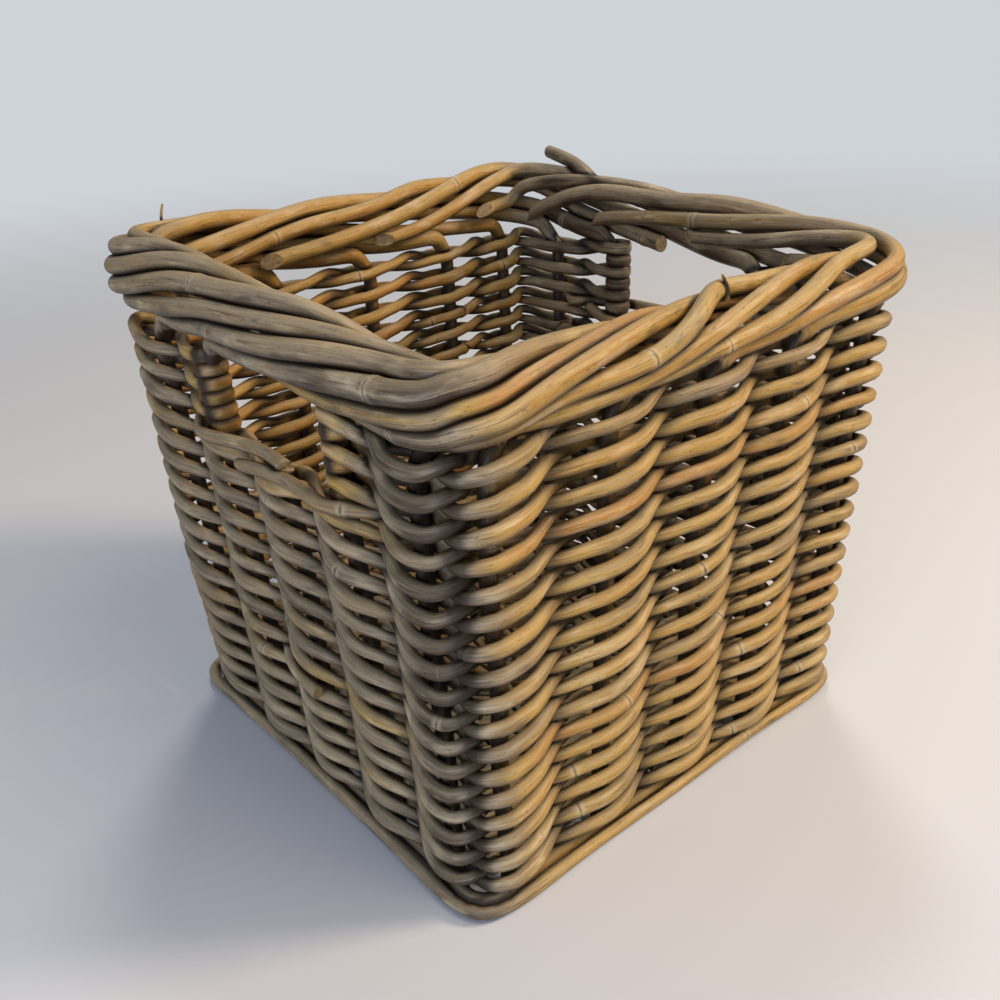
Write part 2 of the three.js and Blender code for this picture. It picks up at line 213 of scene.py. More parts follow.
# Loose ends: name, slot, how much the tone differs from the wall's, sides, and points of the cane
# with its radius there
LOOSE_ENDS = (
    ("foot_cane", "base_cane", 0.0, STRAND_SIDES,
     ((-70, 135.4, 5, 3.0), (-112, 136.6, 5, 3.1), (-133.6, 133.6, 4.6, 3.2), (-136.6, 112, 4.6, 3.2),
      (-135.4, 60, 4.6, 3.3), (-135.4, 10, 5, 3.4), (-135.6, -60, 4.6, 3.5), (-137.2, -114, 4.4, 3.5),
      (-134.2, -134.2, 4.4, 3.5), (-114, -137, 4.4, 3.3), (-66, -135.2, 4.6, 3.0),
      (-20, -134.8, 3.6, 2.7), (14, -134.8, 4.6, 2.7), (44, -135, 6.2, 2.7), (80, -134.8, 5, 2.7),
      (112, -136.4, 5.6, 2.7), (132.8, -132.8, 6, 2.7), (136.4, -112, 6, 2.7), (134.8, -90, 6, 2.7))),
    ("cut_rod_end_far_corner", "border_cane", 0.05, ROD_SIDES,
     ((131, 50, 262, 3.4), (137, 72, 271.5, 4.0), (141, 86, 275.5, 4.2), (144.5, 98, 277, 4.2),
      (148.5, 117, 279, 4.0))),
    ("broken_strand_left_wall", "weave_cane", 0.1, STRAND_SIDES,
     ((-128, 26, 75, 3.1), (-136, 14, 74.4, 3.2), (-140.5, 0, 74, 3.3), (-142, -23, 73.4, 3.4))),
    ("twig_front_border", "border_cane", 0.0, TWIG_SIDES,
     ((13, -137, 256, 1.3), (14, -136.5, 261.5, 1.0), (11, -136, 266, 0.6))),
    ("twig_back_border", "border_cane", -0.2, TWIG_SIDES,
     ((-110, 137, 264, 1.5), (-111, 138, 275, 0.9), (-108, 139, 282, 0.6))),
)


def linear(hex_colour):
    """Linear red, green and blue of an sRGB hex colour."""
    channels = [int(hex_colour[place : place + 2], 16) / 255 for place in (1, 3, 5)]
    return tuple(c / 12.92 if c <= 0.04045 else ((c + 0.055) / 1.055) ** 2.4 for c in channels)


def colour_property(label, note, hex_colour):
    return FloatVectorProperty(
        name=label, description=note, default=linear(hex_colour), min=0.0, max=1.0, size=3, subtype="COLOR"
    )


def length_property(label, note, millimetres):
    return FloatProperty(
        name=label, description=note, default=millimetres * MM, min=0.0, unit="LENGTH", subtype="DISTANCE"
    )


class WeaveSettings(bpy.types.PropertyGroup):
    strand_radius: length_property("Strand radius", "Radius of a weaver between crossings", 3.5)
    squeeze: length_property("Squeeze", "How much thinner a weaver is where two cross", 0.45)
    waviness: length_property("Waviness", "How far a round wanders up and down", 0.8)
    wrap_radius: length_property("Wrap radius", "Half height of a cane wrapped at a hole", 3.9)
    wrap_pitch: length_property("Wrap pitch", "Height of one wrap at the edge of a hole", 7.2)


class BorderSettings(bpy.types.PropertyGroup):
    rod_radius: length_property("Rod radius", "Usual radius of a border rod", 4.95)
    looseness: length_property("Looseness", "How far a rod strays from its even lay", 2.4)
    end_variation: length_property("End variation", "How far round the border the ends differ", 4)


class CaneSettings(bpy.types.PropertyGroup):
    soaked: colour_property("Soaked cane", "Cane that soaked longest in the mud", "#50402f")
    grey: colour_property("Grey cane", "Mud-grey kubu rattan", "#968369")
    tan: colour_property("Tan cane", "Common tone of the cane", "#8e754d")
    golden: colour_property("Golden cane", "Sunned, less soaked cane", "#b49149")
    orange: colour_property("Orange cane", "Ripest streaks of the cane", "#ac7a34")
    # Pale also paints a highlight on upper sides; dark also paints shade on undersides, in crevices and
    # behind the weave
    pale: colour_property("Scuffed cane", "Pale scuffs and dry fibres", "#e0d0ac")
    dark: colour_property("Dark marks", "Specks, scars, joints and dirt", "#1f1309")
    pith: colour_property("Cut pith", "Fresh end grain where a cane is cut", "#c9a878")


class StageSettings(bpy.types.PropertyGroup):
    floor: colour_property("Floor", "Plain pale floor", "#dfe3ec")
    backdrop: colour_property("Backdrop", "Plain pale surroundings", "#ced3d8")
    lamp_power: FloatProperty(name="Lamps", description="Power of the soft lamps", default=1.0)
    sky: FloatProperty(name="Sky", description="Strength of the even light", default=0.2)


_COUNTS = [0.0]
_TRAVELS = [0.0]
for _wall, _places in enumerate(STAKE_PLACES):
    _start = _wall * PER_WALL
    _COUNTS += [_start + number + 0.5 for number in range(PER_WALL)] + [_start + PER_WALL]
    _TRAVELS += [_start + place for place in _places] + [_start + PER_WALL]


def travel_of(count):
    """Travel of places counted in stakes: half numbers are stakes, whole numbers crossings."""
    lap = np.floor(np.asarray(count) / STAKES)
    return np.interp(count - lap * STAKES, _COUNTS, _TRAVELS) + lap * STAKES


def nearness(travel, place, reach):
    """1 at a place round the basket, falling off smoothly to both sides of it."""
    aside = np.mod(travel - place + STAKES / 2, STAKES) - STAKES / 2
    return np.exp(-((aside / reach) ** 2))


def wall_place(travel, half, corner=WEAVE_CORNER):
    """Points and outward directions on the middle line of the wall, for an array of travels."""
    lap = np.mod(travel, STAKES)
    wall = np.floor(lap / PER_WALL)
    along = (2 * (lap - wall * PER_WALL) / PER_WALL - 1) * half
    side, straight = np.sign(along), half - corner
    turn = side * np.maximum(0, np.abs(along) - straight) * math.pi / (4 * corner)
    out = np.sin(turn), -np.cos(turn)
    line = side * np.minimum(np.abs(along), straight) + corner * out[0], corner * out[1] - straight
    cosine, sine = np.cos(wall * math.pi / 2), np.sin(wall * math.pi / 2)
    return (np.stack([cosine * x - sine * y, sine * x + cosine * y, 0 * x], -1) for x, y in (line, out))


def wall_points(travel, offset, height, half, corner=WEAVE_CORNER):
    """Points at travels, offsets and heights."""
    place, outward = wall_place(travel, half, corner)
    points = place + outward * np.asarray(offset)[..., None]
    points[..., 2] = height
    return points


def ripple(random, travel, waves, reach):
    """Smooth uneven line of about that reach, which closes on itself after one lap."""
    total = np.zeros_like(travel)
    for wave in range(1, waves + 1):
        phase = random.uniform(0, 2 * math.pi)
        total += random.normal() * np.cos(2 * math.pi * wave * travel / STAKES + phase)
    return reach * total / math.sqrt(waves / 2)


def unit(vectors):
    return vectors / np.maximum(np.linalg.norm(vectors, axis=-1, keepdims=True), 1e-9)


def distances(points):
    """Distance of every point along its line."""
    return np.concatenate([[0], np.cumsum(np.linalg.norm(np.diff(points, axis=0), axis=1))])


def smooth(values, rounds):
    """Evens out a line where it stands, with its ends kept."""
    for _ in range(rounds):
        values[1:-1] = (values[:-2] + 2 * values[1:-1] + values[2:]) / 4


def spread(table, samples):
    """Rows of a table with even steps put in between them."""
    share = np.linspace(0, len(table) - 1, samples)
    return np.stack([np.interp(share, np.arange(len(table)), column) for column in zip(*table)], -1)


def even_path(points, step, smoothing):
    """The same line in even steps, with its kinks smoothed and its ends kept."""
    along = distances(points)
    places = np.linspace(0, along[-1], max(4, int(along[-1] / step) + 1))
    path = np.stack([np.interp(places, along, points[:, axis]) for axis in range(3)], -1)
    smooth(path, smoothing)
    return path


def strip_faces(before, after, sides):
    """Faces between rings of vertices, from the first vertex of each."""
    corner = np.arange(sides)
    beside = (corner + 1) % sides
    return np.stack([before + corner, after + corner, after + beside, before + beside], -1)


class Cane:
    """Skin of one cane along a line: rings of vertices, cut ends and what its finish reads."""

    def __init__(self, path, radius, tone, random, sides=STRAND_SIDES, upright=(0.0, 0.0, 1.0),
                 closed=False, slants=(0.5, 0.5), joint_gap=420.0, press=1.0, tilt=None, dirt=0.6):
        self.path = path
        self.radius, self.press, self.tone = (
            np.broadcast_to(values, len(path)).astype(float) for values in (radius, press, tone)
        )
        self.sides = sides
        self.tilt = tilt
        # Share of the wall's painted shade that falls on this cane
        self.dirt = dirt
        ahead = np.roll(path, -1, 0) - np.roll(path, 1, 0)
        if not closed:
            ahead[0] = path[1] - path[0]
            ahead[-1] = path[-1] - path[-2]
        self.ahead = unit(ahead)
        self.rise = unit(upright - self.ahead * (self.ahead * upright).sum(-1, keepdims=True))
        self.side = np.cross(self.ahead, self.rise)
        self.along = distances(path)
        self.start = random.uniform(0, 4000)
        self._joints(random, joint_gap)
        self._rings(random)
        self._faces(closed, slants, random)

    def _joints(self, random, gap):
        """Signed distance to the nearest leaf joint, where a cane swells and has a dark ring."""
        places = [random.uniform(0, gap)]
        while places[-1] < self.along[-1]:
            places.append(places[-1] + random.uniform(0.6, 1.5) * gap)
        away = self.along[:, None] - np.array(places)
        nearest = np.abs(away).argmin(1)
        self.joint = np.clip(away[np.arange(len(away)), nearest], -20, 20)
        self.radius *= 1 + JOINT_SWELL * np.exp(-((self.joint / JOINT_LENGTH) ** 2))

    def _rings(self, random):
        """Rings of the skin, a little out of round, and the grain that runs along them."""
        self.angle = 2 * math.pi * np.arange(self.sides) / self.sides
        cosine, sine = np.cos(self.angle), np.sin(self.angle)
        twist = (random.uniform(0, 2 * math.pi) + self.along / random.uniform(60, 160))[:, None]
        dent = 1 + 0.035 * np.cos(2 * self.angle + twist) + 0.02 * np.cos(3 * self.angle - 1.7 * twist)
        radius = self.radius[:, None]
        aside = (self.press[:, None] * self.side)[:, None]
        across = cosine[:, None] * aside + sine[:, None] * self.rise[:, None]
        self.points = self.path[:, None] + (radius * dent)[..., None] * across
        length = (self.along + self.start)[:, None] + 0 * cosine
        self.grain = np.stack([radius * cosine, radius * sine, length], -1)

    def _faces(self, closed, slants, random):
        """Faces of the skin, looking outwards, and the values of every vertex."""
        count = len(self.path)
        ring = np.arange(count if closed else count - 1)[:, None]
        quads = strip_faces(ring * self.sides, (ring + 1) % count * self.sides, self.sides)
        self.quads = quads.reshape(-1, 4)
        self.verts = self.points.reshape(-1, 3)
        self.grains = self.grain.reshape(-1, 3)
        self.caps = []
        self.rings = list(range(count))
        if not closed:
            self._cut(0, -1, slants[0], random)
            self._cut(count - 1, 1, slants[1], random)
        self.tones = np.repeat(self.tone[self.rings], self.sides)
        self.joints = np.repeat(self.joint[self.rings], self.sides)

    def _cut(self, ring, direction, slant, random):
        """A slanted cut beyond the end ring, with a worn edge and a flat face of pith."""
        tilt = random.uniform(0, 2 * math.pi) if self.tilt is None else self.tilt
        ahead = self.ahead[ring] * direction
        reach = slant * self.radius[ring]
        centre = self.path[ring] + reach * ahead
        rim = self.points[ring] + reach * (1.06 + np.cos(self.angle - tilt))[:, None] * ahead
        before = ring * self.sides
        for level, (share, edge) in enumerate(CUT_RINGS):
            here = len(self.verts)
            strip = strip_faces(before, here, self.sides)[:, ::direction]
            if level < 2:
                self.quads = np.vstack([self.quads, strip])
            else:
                self.caps.extend(strip.tolist())
            self.verts = np.vstack([self.verts, centre + (rim - centre) * share + edge * ahead])
            grain = self.grain[ring] * (share, share, 1) + (0, 0, direction * (reach + level))
            self.grains = np.vstack([self.grains, grain])
            self.rings.append(ring)
            before = here
        self.caps.append((before + np.arange(self.sides))[::-direction].tolist())


# Pieces laid so far, each with its canes
LAID = []


def wall_painted_shade(points):
    """Painted shade towards the middle of the wall, where the stakes stand in the shade of the strands."""
    aside = np.max(np.abs(points[..., :2]), axis=-1) - half_width(points[..., 2])
    inside = np.clip((6.5 - np.abs(aside)) / 4.5, 0, 1)
    return inside * (points[..., 2] < BORDER_FOOT - ROD_RADIUS)


def crevice_painted_shade(canes):
    """Painted shade on the skin of every cane, most where another cane all but touches it."""
    spots = np.vstack([cane.path for cane in canes])
    radii = np.concatenate([cane.radius for cane in canes])
    alongs = np.concatenate([cane.along for cane in canes])
    owners = np.repeat(np.arange(len(canes)), [len(cane.path) for cane in canes])
    tree = KDTree(len(spots))
    for index, spot in enumerate(spots):
        tree.insert(spot, index)
    tree.balance()
    for number, cane in enumerate(canes):
        dirt = cane.dirt * wall_painted_shade(cane.points)
        for ring, middle in enumerate(cane.path):
            near = np.array([found[1] for found in tree.find_range(middle, CREVICE_REACH)])
            own = (owners[near] == number) & (np.abs(alongs[near] - cane.along[ring]) < OWN_LENGTH)
            near = near[~own]
            if len(near):
                apart = cane.points[ring][:, None] - spots[near]
                gap = (np.linalg.norm(apart, axis=-1) - radii[near]).min(1)
                dirt[ring] = np.maximum(dirt[ring], np.clip(1 - gap / CREVICE_DEPTH, 0, 1))
        dirt *= np.interp(cane.press, (WRAP_PRESS, 1), (0.8, 1))[:, None]
        yield np.concatenate([dirt.ravel(), np.zeros(len(cane.verts) - dirt.size)])


def add_object(name, data):
    thing = bpy.data.objects.new(name, data)
    bpy.context.scene.collection.objects.link(thing)
    return thing


def make_piece(name, canes, slot, nodes, skins):
    """One object of canes that stands for nodes of the frame and rides on the basket."""
    verts = np.vstack([cane.verts for cane in canes]) * MM
    starts = np.cumsum([0] + [len(cane.verts) for cane in canes])
    quads = np.vstack([cane.quads + start for cane, start in zip(canes, starts)])
    caps = [np.array(cap) + start for cane, start in zip(canes, starts) for cap in cane.caps]
    corners = np.concatenate([quads.ravel(), *caps]).astype(np.int32)
    sizes = np.array([4] * len(quads) + [len(cap) for cap in caps], np.int32)
    finish_index = (np.arange(len(sizes)) >= len(quads)).astype(np.int32)
    mesh = bpy.data.meshes.new(name)
    mesh.vertices.add(len(verts))
    mesh.vertices.foreach_set("co", verts.astype(np.float32).ravel())
    mesh.loops.add(len(corners))
    mesh.loops.foreach_set("vertex_index", corners)
    mesh.polygons.add(len(sizes))
    mesh.polygons.foreach_set("loop_start", (np.cumsum(sizes) - sizes).astype(np.int32))
    mesh.update(calc_edges=True)
    mesh.polygons.foreach_set("material_index", finish_index)
    mesh.polygons.foreach_set("use_smooth", finish_index == 0)
    for label, kind, field, values in (
        ("grain", "FLOAT_VECTOR", "vector", np.vstack([cane.grains for cane in canes])),
        ("tone", "FLOAT", "value", np.concatenate([cane.tones for cane in canes])),
        ("joint", "FLOAT", "value", np.concatenate([cane.joints for cane in canes])),
        # Painted shade, filled in when the crevices are shaded
        ("painted_shade", "FLOAT", "value", np.zeros(len(verts))),
    ):
        attribute = mesh.attributes.new(label, kind, "POINT")
        attribute.data.foreach_set(field, values.astype(np.float32).ravel())
    if mesh.validate():
        raise RuntimeError(f"{name} has faulty faces")
    for skin in skins:
        mesh.materials.append(skin)
    piece = add_object(name, mesh)
    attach(piece, "root")
    if nodes:
        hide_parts(*nodes)
    LAID.append((piece, canes))


def is_outside(stake, strand):
    return (stake + strand) % 2 == 0


def passes_over(crossing):
    """On the front and back walls a strand goes in over its partner, on the others under it."""
    return (crossing % STAKES) // PER_WALL % 2 == 0


def strand_height(count, first, last, strand):
    """Rise and fall of one strand of a pair, in strand lifts, at places counted in stakes."""
    knots, levels = [], []
    for stake in range(first, last + 2):
        outside = is_outside(stake, strand)
        before = -1 if passes_over(stake) == outside else 1
        after = 1 if passes_over(stake + 1) == outside else -1
        if outside:
            knots += [stake, stake + 0.32, stake + 0.7]
            levels += [before, -0.4 + 0.1 * before, -0.4 + 0.15 * after]
        else:
            knots += [stake, stake + 0.34, stake + 0.66]
            levels += [before, 0.36 * before, 0.36 * after]
    knots, levels = np.array(knots), np.array(levels)
    levels[0] = levels[1]
    place = np.clip(np.searchsorted(knots, count, "right") - 1, 0, len(knots) - 2)
    share = np.clip((count - knots[place]) / (knots[place + 1] - knots[place]), 0, 1)
    return levels[place] + (levels[place + 1] - levels[place]) * (1 - np.cos(math.pi * share)) / 2


def round_stray(travel, row, reach):
    """How a round strays up and outwards from its even place, alike in neighbouring rounds."""
    seeds = np.random.default_rng(STRAY_SEED).integers(1, 10**6, (2, 2))
    strays = []
    for pair, waves, size, share in zip(seeds, (9, 7), (reach, 0.5), (row / 2.4, row / 3)):
        first, second = (ripple(np.random.default_rng(seed), travel, waves, size) for seed in pair)
        strays.append(math.cos(share) * first + math.sin(share) * second)
    settled = min(1.0, (ROUNDS - 1 - row) / 3 + 0.3, row / 2 + 0.2)
    return settled * strays[0], strays[1]


def wall_tone_and_light(travel):
    """Usual tone at a travel, partly the cane's own and partly painted light: golden on the front and
    back walls, where the warm lamp falls, mud-grey on the others, which are in shade, and greyer
    still at the near corner as painted shade.
    """
    tones = np.array([WALL_TONES_AND_LIGHT[wall % len(WALLS)] for wall in range(-1, len(WALLS) + 1)])
    share = np.mod(travel, STAKES) / PER_WALL + 0.5
    step = np.floor(share).astype(int)
    eased = np.clip((share - step - 0.42) / 0.16, 0, 1)
    tone = tones[step] + (tones[step + 1] - tones[step]) * eased
    # The near corner is made greyer as painted shade
    return tone - NEAR_CORNER_SHADE * nearness(travel, -0.1, 0.32)


def travel_round(points):
    """About how far round the basket points lie."""
    return np.mod(np.arctan2(points[:, 0], -points[:, 1]) / (2 * math.pi) + 0.125, 1) * STAKES


def cane_tone(random, travel, vary=0.1):
    """Tone along a cane, from 0 for grey to 1 for orange, with the painted light and shade of its wall."""
    drift = ripple(random, travel, 16, 0.06)
    return np.clip(wall_tone_and_light(travel) + random.normal(0, vary) + drift, -0.2, 1)


def strand_line(settings, first, last, row, strand, random, tails):
    """Points, radii and travels of one strand of a pair, from one stake to another."""
    count = np.linspace(first + 0.5, last + 0.5 + tails, (last - first) * STRAND_STEPS + 1)
    travel = travel_of(count)
    outness = np.cos(math.pi * (count - 0.5 + strand))
    height = FIRST_ROUND + row * ROUND_PITCH
    lift, push = round_stray(travel, row, settings.waviness / MM)
    level = height + lift + ripple(random, travel, 20, 0.25)
    level = level + STRAND_LIFT * strand_height(count, first, last, strand)
    if row == FULL_ROUNDS - 1:
        for short in SHORT_STAKES:
            level = level - HOLE_SAG * nearness(travel, travel_of(short + 0.5), HOLE_SAG_REACH)
    points = wall_points(travel, STRAND_REACH * outness + push, level, half_width(height))
    radius = settings.strand_radius / MM - settings.squeeze / MM * (1 - outness**2)
    radius = radius * (random.uniform(0.93, 1.07) + ripple(random, travel, 12, 0.05))
    return points, radius, travel


def around_stake(stake, height, reach, turn):
    """Level points round a stake, by how far they have turned from its outer side."""
    place, outward = wall_place(travel_of(np.array([stake + 0.5])), half_width(height))
    along = np.cross((0, 0, 1), outward[0])
    return place[0] + reach * (np.cos(turn)[:, None] * outward[0] + np.sin(turn)[:, None] * along)


def stake_turn(stake, out, inner, end, way, reach):
    """Points, radii, pressing and travels of a strand's turn from outside a stake to its inside."""
    share = np.linspace(0, 1, 11)[1:-1]
    level = out[0][end][2]
    points = around_stake(stake, level, reach, way * math.pi * share)
    points[:, 2] = level + (inner[0][end][2] - level) * share
    return [points] + [np.full(len(share), values[end]) for values in out[1:]]


def paired_round(settings, first, last, row, random, edge_level=None):
    """One weaver folded round its first stake and paired with itself to the last one.

    A short round beside the hand holes has an edge level, to which it bends at both of its edge
    stakes. There it is pressed flat, and its tails meet behind the last stake. The points, radii,
    pressing and travels of the weaver are handed back.
    """
    short = edge_level is not None
    tails, reach = (0.0, WRAP_REACH) if short else (0.8, STRAND_REACH)
    lines = []
    for strand in (0, 1):
        points, radius, travel = strand_line(settings, first, last, row, strand, random, tails)
        press = np.ones(len(travel))
        if short:
            ends = travel_of(np.array([first + 0.5, last + 0.5]))
            away = np.abs(travel[:, None] - ends).min(1) * STAKE_SPACE
            bend = np.exp(-((away / WRAP_BEND) ** 2))
            points[:, 2] += np.exp(-((away / WRAP_GATHER) ** 2)) * (edge_level - points[:, 2])
            place, outward = wall_place(travel, half_width(points[:, 2]))
            offset = ((points - place) * outward).sum(-1)
            points += outward * (bend * offset * (WRAP_REACH / STRAND_REACH - 1))[:, None]
            radius = radius + bend * (settings.wrap_radius / MM - radius)
            press = 1 + bend * (WRAP_PRESS - 1)
        lines.append((points, radius, press, travel))
    out, inner = lines if is_outside(first, 0) else lines[::-1]
    runs = [[values[::-1] for values in out], stake_turn(first, out, inner, 0, -1, reach), inner]
    if short:
        tail = stake_turn(last, out, inner, -1, 1, reach)
        runs.append([values[::-1] for values in tail])
    return [np.concatenate(parts) for parts in zip(*runs)]


def wrap_painted_light(travel):
    """Tone of the wraps, painted light: dark as painted shade at the right hand hole, ripe orange as
    painted warm light at the left one.
    """
    return np.where(np.mod(travel, STAKES) < 2 * PER_WALL, *WRAP_SHADE_AND_LIGHT)


def wrap_loop(stake, height, random):
    """One turn of cane round the stake at the edge of a hand hole."""
    turn = np.linspace(0, 2 * math.pi, 28, endpoint=False)
    points = around_stake(stake, height, WRAP_REACH + random.uniform(-0.2, 0.2), turn)
    points[:, 2] = height + random.uniform(0.2, 0.7) * np.sin(turn + random.uniform(-0.5, 0.5))
    return points


def oval_table():
    """Distance along the border's oval from its foot, with the place there, from its heart."""
    angle = np.linspace(-math.pi / 2, 1.5 * math.pi, 1441)
    oval = np.stack([BORDER_HALF_THICKNESS * np.cos(angle), BORDER_HALF_HEIGHT * np.sin(angle)], -1)
    return distances(oval), oval[:, 0], oval[:, 1]


def stray_at(values, travel):
    """Smooth line through the values given at the border's places."""
    shifts = (-0.7, -0.35, 0, 0.35, 0.7)
    near = [np.interp(travel + shift, BORDER_PLACES, values, period=STAKES) for shift in shifts]
    return np.mean(near, axis=0)


def lay_at(travel):
    """How far round the oval a border rod has come, counted from the front left corner."""
    lap = np.floor(np.asarray(travel) / STAKES)
    corners = np.arange(len(WALLS) + 1) * PER_WALL
    come = np.cumsum((0, *ROD_LAYS)) * PER_WALL
    near = [np.interp(travel - lap * STAKES + shift, corners, come) for shift in (-0.4, 0.0, 0.4)]
    return np.mean(near, axis=0) + lap * come[-1]


def rod_line(stake, table, settings, random):
    """Border run of one rod: its points, its radii and how low each point may come."""
    ahead = float(travel_of(stake + 0.5)) - stake - 0.5
    start = ROD_START + (0 if stake in SHORT_STAKES else ahead)
    passed = np.linspace(start, BORDER_SPAN, int((BORDER_SPAN - start) * STAKE_SPACE / ROD_STEP))
    travel = stake + 0.5 + passed
    distance = lay_at(travel) - lay_at(stake + 0.5)
    kept = distance < ROD_REACH + random.uniform(-1, 1) * settings.end_variation / MM
    passed, travel, distance = passed[kept], travel[kept], distance[kept]
    grown = np.clip(passed / 1.5, 0, 1)
    distance = distance + ripple(random, travel * 3, 3, settings.looseness / MM) * grown
    offset, height = (np.interp(np.abs(distance), table[0], column) for column in table[1:])
    swell = 1 + ripple(random, travel * 3, 3, 0.03) * grown
    offset = np.sign(distance) * offset * swell - BORDER_INSET + stray_at(SIDE_STRAY, travel)
    foot = stray_at(FOOT_STRAY, travel)
    stretch = 1 + (stray_at(CREST_STRAY, travel) - foot) / (2 * BORDER_HALF_HEIGHT)
    height = BORDER_FOOT + foot + (BORDER_HALF_HEIGHT + height * swell) * stretch
    points = wall_points(travel, offset, height, BORDER_HALF_WIDTH, BORDER_CORNER)
    radius = settings.rod_radius / MM * ROD_SHARES[stake] * (1 - ROD_TAPER * passed)
    return points, radius, BORDER_FOOT - ROD_RADIUS + foot + radius


def ease_apart(lines, radii, lowest):
    """Pushes crowded border rods apart until they only touch, each staying a smooth line."""
    targets = [line.copy() for line in lines]
    pairs = [
        (one, other) for one in range(STAKES) for other in range(one + 1, STAKES)
        if min(other - one, STAKES - other + one) <= BORDER_SPAN
    ]
    for _ in range(EASE_ROUNDS):
        moves = [np.zeros_like(line) for line in lines]
        for one, other in pairs:
            apart = lines[one][:, None] - lines[other]
            distance = np.linalg.norm(apart, axis=-1)
            wanted = radii[one][:, None] + radii[other]
            first, second = np.nonzero(distance < wanted)
            if not len(first):
                continue
            push = (wanted[first, second] - distance[first, second])[:, None] * 0.25
            push = push * apart[first, second] / distance[first, second][:, None]
            for moved, places, signed in ((one, first, push), (other, second, -push)):
                total = np.zeros_like(lines[moved])
                np.add.at(total, places, signed)
                times = np.bincount(places, minlength=len(total))
                moves[moved] += total / np.maximum(times, 1)[:, None]
        for number, line in enumerate(lines):
            shift = line + moves[number] - targets[number]
            smooth(shift, 8)
            hold = np.clip(np.arange(len(line)) / 6, 0, 1)[:, None]
            lines[number] = targets[number] + shift * hold
            lines[number][:, 2] = np.maximum(lines[number][:, 2], lowest[number])


def add_node(tree, kind, inputs=None, **settings):
    """Adds one node, makes its settings, and fills its inputs or links them to sockets or nodes."""
    node = tree.nodes.new(kind)
    for name, value in settings.items():
        setattr(node, name, value)
    for socket, value in (inputs or {}).items():
        if isinstance(value, bpy.types.Node):
            value = value.outputs[0]
        if isinstance(value, bpy.types.NodeSocket):
            tree.links.new(value, node.inputs[socket])
        else:
            node.inputs[socket].default_value = value
    return node


def new_material(name):
    material = bpy.data.materials.new(name)
    material.use_nodes = True
    material.node_tree.nodes.clear()
    return material, material.node_tree


# Marks of the cane: width and length of one in millimetres, detail and roughness of the noise
GRAINS = {
    "fibre": (0.5, 24, 3, 0.55),
    "streak": (1.5, 55, 2, 0.5),
    "patch": (7, 26, 3, 0.55),
    "speck": (0.8, 2.4, 2, 0.5),
    "scar": (2.2, 8, 4, 0.7),
    "pore": (0.45, 0.45, 2, 0.5),
}

# Colours of the skin by tone, from grey to orange
TONE_STOPS = (("soaked", 0.42), ("grey", 0.74), ("tan", 0.98), ("golden", 1.22), ("orange", 1.6))
TONE_SCALE = 0.6

# Kinds of cane: name of the finish, how much more bark is left on it and how rough its skin is
FINISHES = {
    "weave": ("kubu_rattan_weaver_unvarnished", 0.0, 0.48),
    "border": ("kubu_rattan_rod_with_bark_scars", 0.03, 0.45),
    "base": ("kubu_rattan_base_dull", 0.02, 0.62),
}
PITH_FINISH = "rattan_cut_pith"


def grain_marks(tree, names):
    """Noise of each kind of mark, running with the cane."""
    grain = add_node(tree, "ShaderNodeAttribute", attribute_name="grain").outputs["Vector"]
    marks = {}
    for name in names:
        across, along, detail, roughness = GRAINS[name]
        scale = (1 / across, 1 / across, 1 / along)
        scaled = add_node(tree, "ShaderNodeMapping", {"Vector": grain, "Scale": scale})
        noise = {"Vector": scaled, "Scale": 1.0, "Detail": detail, "Roughness": roughness}
        marks[name] = add_node(tree, "ShaderNodeTexNoise", noise).outputs["Fac"]
    return marks


def stain(tree, colour, stains):
    """Colour with stains laid over it: mark, where it starts and is full, its share and colour."""
    for mark, start, full, share, tint in stains:
        reach = {0: mark, 1: start, 2: full, 3: 0.0, 4: share}
        cover = add_node(tree, "ShaderNodeMapRange", reach, interpolation_type="SMOOTHSTEP")
        colours = {0: cover, 6: colour, 7: (*tint, 1)}
        colour = add_node(tree, "ShaderNodeMix", colours, data_type="RGBA").outputs[2]
    return colour


def close_material(tree, colour, roughness, shine, relief, strength, depth):
    """Ends a material: the relief of its fibres, its shine and its output."""
    bump = add_node(tree, "ShaderNodeBump", {"Height": relief, "Strength": strength, "Distance": depth})
    surface = {"Base Color": colour, "Roughness": roughness, "Specular IOR Level": shine, "IOR": 1.5}
    shader = add_node(tree, "ShaderNodeBsdfPrincipled", {**surface, "Normal": bump})
    add_node(tree, "ShaderNodeOutputMaterial", {"Surface": shader})


